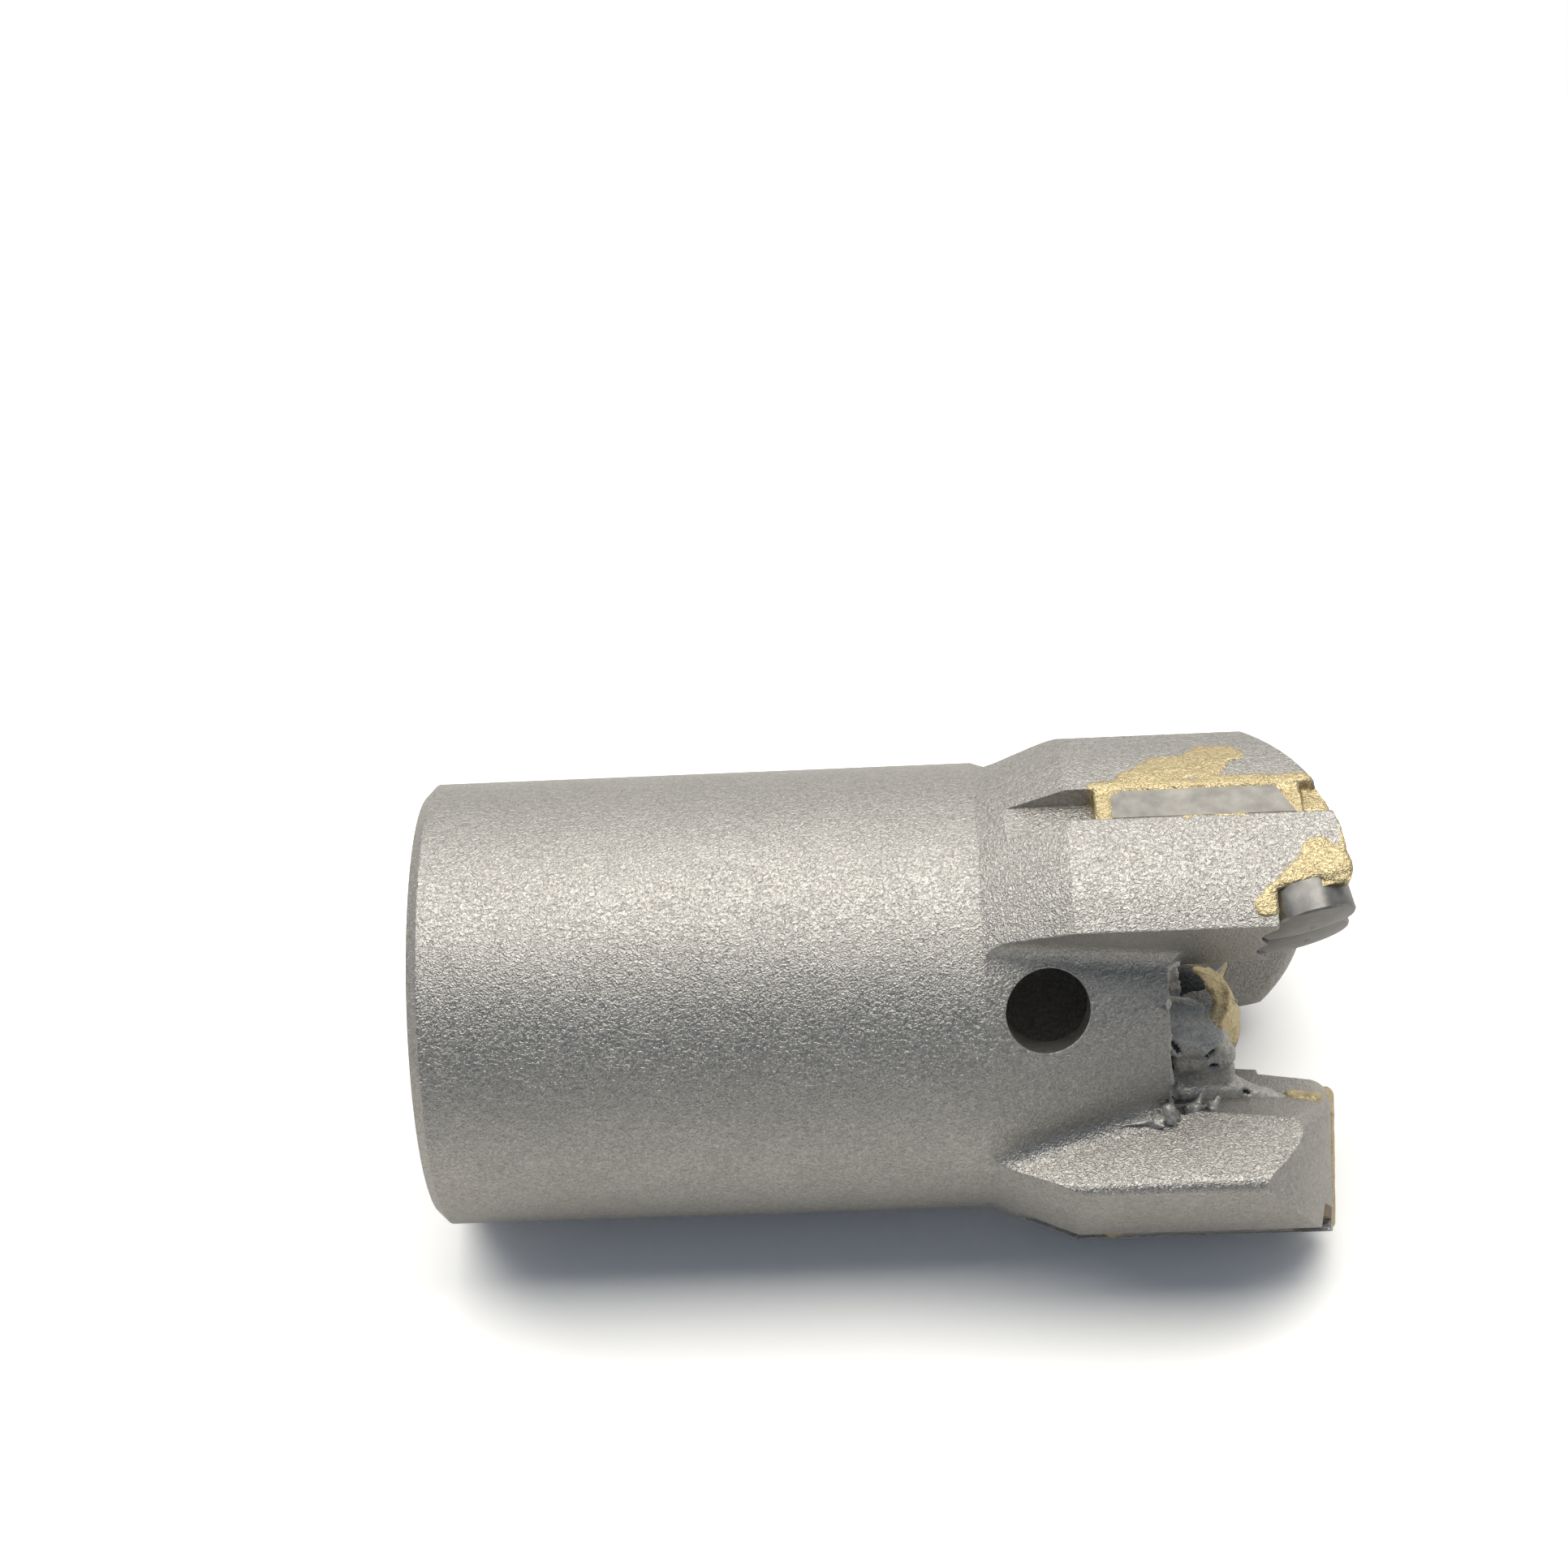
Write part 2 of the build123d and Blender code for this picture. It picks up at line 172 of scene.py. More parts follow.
def blasted_metal(name, colour, roughness, grain=0.5 * MM, relief=0.24 * MM, mottle=0.16, rust=False):
    """Shot-blasted metal: fine worm-like dimples, a little mottled in colour and gloss."""
    material, tree, shader = new_material(name)
    where = position(tree)
    dimples = noise(tree, where, grain, detail=2.0, distortion=1.1)
    fine = noise(tree, where, grain * FINE_SIZE, detail=1.0)
    height = math_node(tree, "MULTIPLY_ADD", fine, FINE_HEIGHT, dimples)
    patches = noise(tree, where, 9 * MM, detail=4.0)
    dark = tuple(channel * (1 - mottle) for channel in colour)
    light = tuple(min(1, channel * (1 + mottle)) for channel in colour)
    speckle = ramp(tree, dimples, [(0.35, dark), (0.62, light)])
    shade = ramp(tree, patches, [(0.3, 0.93), (0.7, 1.0)])
    finish = mix(tree, 1.0, speckle, shade, "MULTIPLY")
    normal = None
    if rust:
        finish = mix(tree, rust_mask(tree, where), finish, RUST_COLOUR)
        normal = soft_edges(tree, EDGE_ROUND)
    tree.links.new(finish, shader.inputs["Base Color"])
    gloss = ramp(tree, patches, [(0.3, roughness + 0.015), (0.7, roughness - 0.015)])
    tree.links.new(gloss, shader.inputs["Roughness"])
    shader.inputs["Metallic"].default_value = 1.0
    tree.links.new(bump(tree, height, relief, normal=normal), shader.inputs["Normal"])
    return material


def ground_surface(name, low, high, roughness, metallic, cloud, scratch, relief):
    """A ground or lapped face with faint stains; cloud and scratch are each (size, detail)."""
    material, tree, shader = new_material(name)
    where = position(tree)
    stains = noise(tree, where, *cloud)
    tree.links.new(ramp(tree, stains, [(0.3, low), (0.7, high)]), shader.inputs["Base Color"])
    shader.inputs["Metallic"].default_value = metallic
    shader.inputs["Roughness"].default_value = roughness
    tree.links.new(bump(tree, noise(tree, where, *scratch), relief), shader.inputs["Normal"])
    return material


def ground_carbide(name, low, high, roughness):
    """Ground tungsten carbide."""
    return ground_surface(name, low, high, roughness, 0.9, (3.0 * MM, 6.0), (0.2 * MM, 4.0), 0.012 * MM)


def lapped_diamond(name, low, high, roughness):
    """The dark grey lapped diamond face of a cutter."""
    return ground_surface(name, low, high, roughness, 0.75, (2.2 * MM, 5.0), (0.12 * MM, 3.0), 0.008 * MM)


STEEL_COLOUR = (0.5, 0.485, 0.46)
BRASS_COLOUR = (0.66, 0.55, 0.33)
RUST_COLOUR = (0.36, 0.24, 0.17)
steel = blasted_metal("blasted_steel", STEEL_COLOUR, 0.42, rust=True)
weld_steel = blasted_metal("weld_steel", (0.58, 0.57, 0.545), 0.55, grain=0.6 * MM, relief=0.16 * MM)
# painted shade: a near-black weld finish laid where hollows and pits round the weld lie in shadow
painted_weld_shade = blasted_metal("painted_weld_shade", (0.11, 0.115, 0.125), 0.55, mottle=0.35)
# a darker brass for wing 2's gauge braze, where the groove end is dark
dark_brass = blasted_metal("dark_brass", (0.26, 0.2, 0.13), 0.5)
brass = blasted_metal("braze_brass", BRASS_COLOUR, 0.42)
diamond = lapped_diamond("diamond_face", (0.2, 0.195, 0.19), (0.27, 0.26, 0.25), 0.36)
cutter_carbide = ground_carbide("cutter_carbide", (0.17, 0.168, 0.165), (0.38, 0.37, 0.36), 0.34)
machined = blasted_metal("machined_steel", (0.4, 0.39, 0.375), 0.4, grain=0.9 * MM, relief=0.01 * MM)
insert_carbide = ground_carbide("insert_carbide", (0.3, 0.29, 0.27), (0.52, 0.5, 0.46), 0.42)


def assign(node_name, *materials):
    """Give a CAD node its materials; the first one covers it all."""
    mesh = frame["nodes"][node_name].data
    mesh.materials.clear()
    for material in materials:
        mesh.materials.append(material)
    for polygon in mesh.polygons:
        polygon.material_index = 0


DOME_FACES = -0.7


def assign_cutter(node_name):
    """Carbide all over, with the diamond layer on the domed front, opposite the flat back."""
    assign(node_name, cutter_carbide, diamond)
    polygons = frame["nodes"][node_name].data.polygons
    facing = {}
    for polygon in polygons:
        key = tuple(round(part, 2) for part in polygon.normal)
        facing[key] = facing.get(key, 0) + polygon.area
    back = Vector(max(facing, key=facing.get)).normalized()
    for polygon in polygons:
        if polygon.normal.dot(back) < DOME_FACES:
            polygon.material_index = 1


for name in frame["nodes"]:
    if name.endswith("cutter"):
        assign_cutter(name)
    elif name.endswith("insert"):
        assign(name, insert_carbide)
    elif name.endswith("braze"):
        assign(name, dark_brass if name == "wing_2_gauge_braze" else brass)
    elif name == "bridge_weld":
        assign(name, weld_steel)
    else:
        assign(name, steel)


# ---------------------------------------------------------------- places on the bit
# angles in radians, sizes in mm and the holes' places as (y, z), as the bit was packed
WING_TURN = radians(206.32)
WING_STEP = radians(120)
GAUGE = 37.5
WEB = 105.6
SEAM = 17.0
CORE_HOLES = ((1.8, 11.5), (-6.3, -10.7))
CORE_HOLE_RADIUS = 4.4
CORE_HOLE_MARGIN = 1.4


def on_wing(number, ahead, outward, height):
    """A point in mm from a wing's own directions: ahead of its cutters, outward, and along the bit."""
    turn = WING_TURN + number * WING_STEP
    across = outward * cos(turn) - ahead * sin(turn)
    side = outward * sin(turn) + ahead * cos(turn)
    return (height, side, -across)


def round_bit(radius, angle, height):
    """A point in mm by its angle in degrees: 0 is the +Y side and 90 the top."""
    return (height, radius * cos(radians(angle)), radius * sin(radians(angle)))


# ---------------------------------------------------------------- the skin that braze and weld lie on
VOXEL = 0.32 * MM
WELD_VOXEL = 0.28 * MM
SKIN_START = 78 * MM
TUCK = 0.25 * MM


def joined_nodes(names, start):
    """The bodies of some nodes in front of the plane x = start, in one bmesh with its cut closed."""
    crown = bmesh.new()
    for name in names:
        crown.from_mesh(frame["nodes"][name].data)
    parts = crown.verts[:] + crown.edges[:] + crown.faces[:]
    bmesh.ops.bisect_plane(crown, geom=parts, plane_co=(start, 0, 0), plane_no=(-1, 0, 0), clear_outer=True)
    bmesh.ops.edgeloop_fill(crown, edges=[edge for edge in crown.edges if edge.is_boundary])
    return crown


class Skin:
    """An even, closed mesh round some bodies, held as arrays in metres."""

    def __init__(self, bodies, voxel):
        mesh = bpy.data.meshes.new("skin")
        bodies.to_mesh(mesh)
        bodies.free()
        holder = bpy.data.objects.new("skin", mesh)
        bpy.context.scene.collection.objects.link(holder)
        remesh = holder.modifiers.new("even", "REMESH")
        remesh.mode = "VOXEL"
        remesh.voxel_size = voxel
        even = bpy.data.meshes.new_from_object(holder.evaluated_get(bpy.context.evaluated_depsgraph_get()))
        self.points = read(even.vertices, "co", 3)
        self.normals = read(even.vertex_normals, "vector", 3)
        self.faces = read(even.polygons, "vertices", 4, int)
        self.edges = read(even.edges, "vertices", 2, int)
        bpy.data.objects.remove(holder)
        bpy.data.meshes.remove(mesh)
        bpy.data.meshes.remove(even)

    def relaxed(self, values, rounds, strength=0.5):
        """Points or numbers after `rounds` of averaging with their neighbours."""
        first, second = self.edges.T
        values = values.reshape(len(self.points), -1)
        count = np.maximum(np.bincount(self.edges.ravel(), minlength=len(values)), 1)[:, None]
        for _ in range(rounds):
            total = np.zeros_like(values)
            for column in range(values.shape[1]):
                total[:, column] = np.bincount(first, values[second, column], len(values))
                total[:, column] += np.bincount(second, values[first, column], len(values))
            values = values + strength * (total / count - values)
        return values

    def filled(self, rounds):
        """The surface with its hollow corners filled, and its outer edges left where they are."""
        smooth = self.relaxed(self.points, rounds)
        rise = np.einsum("ij,ij->i", smooth - self.points, self.normals)
        return self.points + self.normals * np.maximum(rise, 0)[:, None]


def read(collection, attribute, width, kind=float):
    """One attribute of a mesh collection as an array."""
    values = np.zeros(len(collection) * width, np.float32 if kind is float else np.int32)
    collection.foreach_get(attribute, values)
    return values.reshape(-1, width).astype(kind)


def ripple(points, size, octaves=3, seed=0):
    """Fractal noise from about -1 to 1 at points in metres, with features `size` metres across."""
    shift = Vector((seed * 7.3, seed * 3.1, seed * 5.7))
    return np.array([perlin.fractal(Vector(p) / size + shift, 1.0, 2.0, octaves) for p in points.tolist()])


def waver(points, chosen, size, octaves, seed):
    """Ripple at the chosen points and 0 at the others."""
    values = np.zeros(len(points))
    values[chosen] = ripple(points[chosen], size, octaves, seed)
    return values


def depth_in(places, strokes):
    """How far in mm each place lies inside the nearest stroke; outside it is negative.

    A stroke is (start, end, radius) in mm, a rod with round ends. Places may be flat or in space.
    """
    depth = np.full(len(places), -np.inf)
    for start, end, radius in strokes:
        a, b = np.array(start), np.array(end)
        span = b - a
        along = np.clip((places - a) @ span / (span @ span), 0, 1)
        gap = np.linalg.norm(places - a - along[:, None] * span, axis=1)
        depth = np.maximum(depth, radius - gap)
    return depth


def inside_strokes(points, strokes):
    """How far in metres each point in metres lies inside the nearest stroke in mm."""
    return depth_in(points / MM, strokes) * MM


def lay(name, skin, surface, depth, thickness, edge, material):
    """A layer on the skin where depth is positive, rising to `thickness` over `edge` metres."""
    rise = np.clip(depth / edge + 0.5, 0, 1)
    rise = rise * rise * (3 - 2 * rise)
    points = surface + skin.normals * (rise * (thickness + TUCK) - TUCK)[:, None]
    points = np.clip(points, cad_box[0], cad_box[1])
    kept = skin.faces[(depth[skin.faces] > -0.5 * edge).any(axis=1)]
    used, index = np.unique(kept, return_inverse=True)
    return solid_piece(name, points[used].tolist(), index.reshape(-1, 4).tolist(), material)


def solid_piece(name, points, faces, material, smooth=True):
    """A piece of some points and faces that rides on the bit."""
    mesh = bpy.data.meshes.new(name)
    mesh.from_pydata(points, [], faces)
    return mesh_piece(mesh, material, smooth)


def mesh_piece(mesh, material, smooth=True):
    """A mesh as a piece of its own name that rides on the bit."""
    mesh.polygons.foreach_set("use_smooth", [smooth] * len(mesh.polygons))
    mesh.materials.append(material)
    mesh.update()
    piece = bpy.data.objects.new(mesh.name, mesh)
    bpy.context.scene.collection.objects.link(piece)
    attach(piece, "root")
    return piece


# ---------------------------------------------------------------- braze
# heights and distances in mm, but for the share of a normal that points forward
FACES_FORWARD = 0.3
TOP_START = 117
TOP_FROM = 11
SIDE_FROM = 15
SEAT_REACH = 8
WALL_SIDE = 31
FAR = -3.0


def wing_film(number, skin, top, side, bare, seed, lowest):
    """The braze that ran over one wing's top and gauge side from its cutters and its insert.

    Top strokes are (outward, ahead) and side strokes (lag round the gauge, height), all in mm.
    Further back than the cutters' seats, the top braze keeps above the height `lowest`.
    """
    turn = WING_TURN + number * WING_STEP
    height, y, z = (skin.points / MM).T
    outward = -z * cos(turn) + y * sin(turn)
    ahead = z * sin(turn) + y * cos(turn)
    lag = GAUGE * np.arctan2(-ahead, outward)
    wall = np.hypot(outward, ahead)
    on_plan = np.stack((outward, ahead), 1)
    round_gauge = np.stack((lag, height), 1)
    high = (height > lowest) | ((height > TOP_START) & (ahead > -SEAT_REACH))
    upper = high & (skin.normals[:, 0] > FACES_FORWARD) & (outward > TOP_FROM)
    outside = (wall > WALL_SIDE) & (outward > SIDE_FROM)
    on_top = np.where(upper, depth_in(on_plan, top), FAR)
    on_side = np.where(outside, depth_in(round_gauge, side), FAR)
    off = np.where(wall > WALL_SIDE + 2, depth_in(round_gauge, bare), -np.inf)
    depth = np.maximum(np.maximum(on_top, on_side), FAR)
    close = depth > FAR
    wander = waver(skin.points, close, 4.0 * MM, 2, seed)
    lumps = waver(skin.points, close, 2.6 * MM, 2, seed + 5)
    depth = np.minimum(skin.relaxed(depth + wander, 6)[:, 0], -off)
    thickness = (0.17 + 0.08 * lumps) * MM
    name = f"wing_{number + 1}_braze_film"
    return lay(name, skin, skin.filled(4), depth * MM, thickness, 0.6 * MM, brass)


INSERT_LAG = GAUGE * radians(27.3)
INSERT_START, INSERT_END = 99.4, 123.0


def beside_insert(start, end, radius, behind=True):
    """A side stroke along the insert's rear edge, or its front edge."""
    edge = INSERT_LAG + (2.9 if behind else -2.9)
    return ((edge, start), (edge, end), radius)


INSERT_FACE = [
    ((INSERT_LAG + shift, INSERT_START + 1.3), (INSERT_LAG + shift, end - 1.3), 1.3)
    for shift, end in ((-1.2, INSERT_END + 0.6), (0, INSERT_END), (1.2, INSERT_END - 0.9))
]
GROOVE_REAR = ((INSERT_LAG - 1.6, 97.6), (INSERT_LAG + 1.6, 97.6), 1.2)
GROOVE_FRONT = ((INSERT_LAG + 1.8, 124.6), (INSERT_LAG - 0.6, 127.0), 1.5)
TOP_FILM = [
    [
        ((18.0, -3.4), (36.0, -3.8), 3.8),
        ((17.5, -6.2), (20.5, -6.6), 2.2),
        ((31.0, -7.0), (28.8, -13.5), 4.6),
        ((28.0, -15.5), (32.0, -15.0), 2.4),
        ((36.6, -7.0), (35.4, -13.0), 1.4),
    ],
    [
        ((18.5, -3.4), (36.0, -4.8), 3.6),
        ((34.0, -6.5), (28.5, -8.0), 4.0),
        ((22.0, -7.5), (21.2, -15.0), 4.4),
    ],
    [
        ((17.6, -3.0), (36.0, -3.2), 3.0),
        ((18.5, -5.5), (23.0, -6.4), 4.0),
        ((23.0, -5.5), (32.0, -6.0), 3.6),
        ((28.0, -7.0), (29.5, -7.0), 3.8),
    ],
]
SIDE_FILM = [
    [
        beside_insert(96.8, 104.0, 1.2),
        ((22.8, 101.5), (25.2, 107.5), 2.0),
        ((24.5, 107.0), (26.3, 112.5), 3.2),
        ((28.6, 112.6), (27.6, 116.0), 2.2),
        beside_insert(104.0, 125.0, 1.6),
        beside_insert(109.0, 116.5, 0.7, behind=False),
        ((0.6, 118.8), (4.6, 122.6), 1.8),
        ((3.0, 122.6), (9.2, 125.8), 1.9),
        ((5.6, 124.0), (6.6, 129.0), 2.2),
        GROOVE_REAR, GROOVE_FRONT,
    ],
    [
        ((1.8, 121.6), (4.0, 123.8), 1.6),
        GROOVE_REAR,
    ],
    [
        beside_insert(99.0, 122.0, 0.7),
        beside_insert(97.5, 105.0, 0.9, behind=False),
        ((1.6, 119.5), (5.0, 124.0), 2.4),
        GROOVE_REAR, GROOVE_FRONT,
    ],
]


def post_film(name, skin, strokes, seed):
    """The lumpy braze round a core cutter and its post."""
    depth = inside_strokes(skin.points, strokes)
    close = depth > FAR * MM
    wander = waver(skin.points, close, 4.5 * MM, 3, seed)
    lumps = waver(skin.points, close, 3.0 * MM, 2, seed + 2)
    depth = skin.relaxed(depth + wander * 1.3 * MM, 6)[:, 0]
    rise = (0.38 + 0.3 * lumps) * MM
    return lay(name, skin, skin.filled(8), depth, rise, 0.7 * MM, brass)


# ---------------------------------------------------------------- weld
# a step along a rod as a share of its radius, how round a pit is, and how deep in it the painted shade
# begins
BALL_STEP = 0.35
PIT_SHAPE = 0.7
PIT_SHADE_FROM = 0.25


def rough_weld(name, skin, strokes, rounds, thickness, roughness, seed):
    """Weld metal along strokes: filled corners with a lumpy, drawn-out surface."""
    depth = inside_strokes(skin.points, strokes)
    close = depth > -2.5 * MM
    wander = waver(skin.points, close, 2.4 * MM, 3, seed)
    lumps = waver(skin.points, close, 1.5 * MM, 3, seed + 3)
    rise = thickness * MM + lumps * roughness * MM
    depth = np.minimum(depth + wander * 0.8 * MM, off_the_holes(skin.points))
    return lay(name, skin, skin.filled(rounds), depth, rise, 0.9 * MM, weld_steel)


def off_the_holes(points):
    """How far in metres each point lies from the nearest water hole's rim, less a bare margin."""
    gaps = [np.hypot(*(points[:, 1:] - np.array(place) * MM).T) for place in CORE_HOLES]
    return np.min(gaps, axis=0) - (CORE_HOLE_RADIUS + CORE_HOLE_MARGIN) * MM


def painted_shade_film(name, skin, strokes):
    """A thin black film beside the weld: painted shade where the hollows there lie in shadow."""
    depth = inside_strokes(skin.points, strokes)
    depth += waver(skin.points, depth > -2 * MM, 2.4 * MM, 3, 61) * 0.8 * MM
    depth = np.minimum(depth, off_the_holes(skin.points))
    lay(name, skin, skin.points, depth, 0.1 * MM, 0.6 * MM, painted_weld_shade)


def weld_mass(name, strokes, pits, seed, relief):
    """A run-together mass of metal: rods with round ends, melted into one and pitted.

    A stroke is (start, end, radius at the start, radius at the end); a pit is (start, end, radius, depth).
    The faces deep in a pit take a near-black finish as painted shade.
    """
    balls = bmesh.new()
    for start, end, first, last in strokes:
        a, b = Vector(start), Vector(end)
        steps = max(2, int((b - a).length / (BALL_STEP * min(first, last))) + 1)
        for step in range(steps):
            share = step / (steps - 1)
            radius = (first + (last - first) * share) * MM
            place = Matrix.Translation(a.lerp(b, share) * MM)
            bmesh.ops.create_icosphere(balls, subdivisions=2, radius=radius, matrix=place)
    mass = Skin(balls, WELD_VOXEL)
    mass.points = mass.relaxed(mass.points, 10)
    push = ripple(mass.points, 2.6 * MM, 3, seed) * relief * MM
    # painted shade: how far each point lies inside a pit, so that the deep faces are painted black
    pit_shade = np.zeros(len(mass.points))
    for start, end, radius, depth in pits:
        inside = np.clip(inside_strokes(mass.points, [(start, end, radius)]) / (radius * MM), 0, 1)
        push -= depth * MM * (inside ** PIT_SHAPE)
        pit_shade = np.maximum(pit_shade, inside)
    points = np.clip(mass.points + mass.normals * push[:, None], cad_box[0], cad_box[1])
    piece = solid_piece(name, points.tolist(), mass.faces.tolist(), weld_steel)
    piece.data.materials.append(painted_weld_shade)
    black = pit_shade[mass.faces].mean(axis=1) > PIT_SHADE_FROM
    piece.data.polygons.foreach_set("material_index", black.astype(np.int32))


def seam_strokes():
    """The weld round the core plug, with two stretches of the seam left bare."""
    step, radius = 9, SEAM + 0.6
    starts = list(range(62, 195, step)) + list(range(262, 352, step))
    return [(round_bit(radius, start, WEB), round_bit(radius, start + step, WEB), 2.5) for start in starts]


def root_strokes():
    """The weld where each wing's inner side stands on the web."""
    inner = 13.6
    return [(on_wing(n, -1.0, inner, WEB), on_wing(n, -17.0, inner, WEB), 1.4) for n in range(3)]


SHORT_POST_BRAZE = [
    ((113.6, -6.5, 4.6), (114.0, -13.6, 3.8), 3.2),
    ((112.2, -7.0, 8.4), (113.4, -12.4, 6.4), 2.5),
]
# painted shade: a black film over the hollow between the hub rim and the short post's top
SHORT_POST_PAINTED_SHADE = [
    ((106.2, -9.8, 9.0), (110.0, -8.2, 9.4), 2.4),
    ((106.2, -6.0, 9.4), (110.8, -5.4, 9.6), 2.6),
]
# painted shade: a black film in the dark corner by the hub rim at wing 2's root
ROOT_PAINTED_SHADE = [
    ((106.2, -24.4, 1.4), (109.8, -22.6, -1.0), 1.5),
    ((107.0, -21.6, -2.6), (110.0, -21.0, -4.2), 1.6),
]
LONG_POST_BRAZE = [((109.0, 5.4, -2.4), (110.2, 5.4, -3.8), 7.7)]
POST_FEET = [
    ((105.6, 4.0, -10.5), (105.6, 9.0, -14.5), 3.0),
    ((105.6, 9.0, -14.5), (105.6, 13.5, -13.0), 2.8),
    ((105.6, -5.0, 9.0), (105.6, -12.0, 10.0), 2.6),
    ((105.6, -12.0, 10.0), (105.6, -18.5, 8.0), 3.0),
]
LONG_POST_COAT = [
    ((104.0, 5.6, -6.0), (112.0, 5.6, -5.4), 3.2),
    ((104.0, 9.0, -9.0), (110.5, 8.8, -8.6), 3.0),
    ((104.0, 3.0, -9.0), (109.5, 3.2, -8.6), 2.6),
]
SHORT_POST_WELD = [
    ((104.0, -12.6, 7.8), (110.2, -12.9, 7.7), 2.6, 2.0),
    ((104.0, -14.2, 6.8), (111.0, -14.4, 6.6), 3.0, 2.3),
    ((104.0, -15.8, 4.6), (112.2, -15.5, 4.4), 3.3, 2.7),
    ((104.0, -16.4, 1.8), (112.9, -15.7, 1.6), 3.4, 2.7),
    ((104.0, -16.8, -1.4), (113.2, -15.8, -1.6), 3.5, 2.7),
    ((104.0, -18.6, -3.8), (113.6, -17.0, -4.0), 3.7, 2.5),
    ((104.0, -20.6, -5.8), (113.4, -19.2, -6.4), 3.2, 2.2),
    ((112.5, -17.2, -3.6), (122.4, -18.9, -6.0), 2.3, 1.2),
]
SHORT_POST_PITS = [
    ((112.4, -17.4, 5.2), (110.6, -19.0, 3.0), 0.55, 1.2),
    ((112.4, -18.6, 1.8), (110.8, -19.9, 0.4), 0.85, 1.6),
    ((109.6, -19.8, 0.8), (107.4, -20.0, 2.4), 0.8, 0.9),
    ((105.8, -19.2, 4.4), (106.6, -20.4, 1.2), 1.2, 1.2),
    ((106.4, -20.8, 0.0), (107.8, -22.6, -2.6), 1.5, 1.5),
    ((106.4, -17.6, 6.8), (107.4, -18.6, 5.6), 0.4, 0.8),
    ((109.8, -21.0, -1.6), (110.0, -21.2, -1.8), 0.4, 0.6),
    ((117.0, -19.0, -3.2), (117.6, -19.2, -3.4), 0.5, 0.8),
]
ROOT_TAIL = [
    ((98.6, -27.2, 0.6), (102.6, -26.6, 0.5), 0.3, 0.5),
    ((101.6, -27.0, -0.9), (104.6, -26.5, -1.0), 0.4, 0.3),
    ((110.6, -23.2, -1.6), (114.4, -21.5, -3.8), 0.6, 0.35),
]


def crumbs(start, end, count, spread, seed):
    """Short strokes of drawn-out weld scattered along a line."""
    chance = Random(seed)
    strokes = []
    for _ in range(count):
        middle = Vector(start).lerp(Vector(end), chance.random())
        middle += Vector([chance.uniform(-spread, spread) for _ in range(3)])
        drawn = Vector([chance.uniform(-1.0, 1.0) for _ in range(3)])
        thick = chance.uniform(0.4, 0.75)
        thin = chance.uniform(0.25, 0.5)
        strokes.append((middle - drawn, middle + drawn, thick, thin))
    return strokes


WEB_LUMPS = [
    ((105.3, -20.2, 5.8), (105.8, -22.2, 3.6), 1.0, 0.8),
    ((105.3, -25.4, 1.8), (105.6, -26.6, 0.8), 1.1, 0.9),
    ((105.4, -15.8, 16.8), (105.6, -17.6, 15.6), 0.45, 0.6),
    ((105.4, -17.6, 15.6), (105.4, -20.6, 15.2), 0.5, 0.3),
    ((105.4, -22.8, -3.0), (105.8, -20.8, -4.8), 1.2, 1.0),
    ((105.4, 3.6, 19.6), (105.8, 5.0, 17.4), 0.7, 0.5),
]


SPATTER_DENT = 0.16
SPATTER_DENT_SIZE = MM / 0.9


def spatter(spots):
    """Balls of weld spatter, each half sunk where it froze."""
    balls = bmesh.new()
    for centre, radius in spots:
        made = bmesh.ops.create_icosphere(balls, subdivisions=3, radius=radius * MM)
        for vertex in made["verts"]:
            swell = 1 + SPATTER_DENT * perlin.noise(vertex.co / SPATTER_DENT_SIZE + Vector(centre))
            vertex.co = Vector(centre) * MM + vertex.co * swell
    mesh = bpy.data.meshes.new("weld_spatter")
    balls.to_mesh(mesh)
    balls.free()
    mesh_piece(mesh, weld_steel)


# ---------------------------------------------------------------- socket thread
def socket_thread():
    """The coarse flat-topped thread cut inside the socket."""
    pitch, crest, root = 6.0 * MM, 21.8 * MM, 23.1 * MM
    start, end = 1.5 * MM, 41.0 * MM
    first, last = 0.6 * MM, end + 1.5 * MM
    flat, foot = 0.16, 0.42
    profile = [(-foot, root), (-flat, crest), (flat, crest), (foot, root)]
    steps = 72
    total = int((end - start) / pitch * steps)
    points = []
    for step in range(total + 1):
        turns = step / steps
        angle = 2 * pi * turns
        fading = min(1, 2 * turns, 2 * (total - step) / steps)
        for shift, radius in profile:
            reach = root + (radius - root) * fading
            along = min(max(start + pitch * (turns + shift), first), last)
            points.append((along, reach * cos(angle), reach * sin(angle)))
    rows = len(profile)
    corners = [step * rows + side for step in range(total) for side in range(rows - 1)]
    faces = [(low, low + 1, low + 1 + rows, low + rows) for low in corners]
    solid_piece("socket_thread", points, faces, machined, smooth=False)


# ---------------------------------------------------------------- braze, weld and thread in place
STEEL_NODES = ["bit_body", "core_plug", "bridge_weld"]
BRAZE_NODES = [name for name in frame["nodes"] if name.endswith("braze")]
INSERT_NODES = [name for name in frame["nodes"] if name.endswith("insert")]
skin = Skin(joined_nodes(STEEL_NODES + BRAZE_NODES + INSERT_NODES, SKIN_START), VOXEL)
for number, lowest in enumerate((117, 129.2, 117)):
    wing_film(number, skin, TOP_FILM[number], SIDE_FILM[number], INSERT_FACE, 11 + number, lowest)
post_film("wing_2_dome_braze", skin, [((124.6, -17.6, -5.2), (126.4, -18.4, -6.0), 1.5)], seed=27)
post_film("short_post_braze_film", skin, SHORT_POST_BRAZE, seed=21)
# painted shade: a black film in the hollow by the short post
painted_shade_film("short_post_painted_shade", skin, SHORT_POST_PAINTED_SHADE)
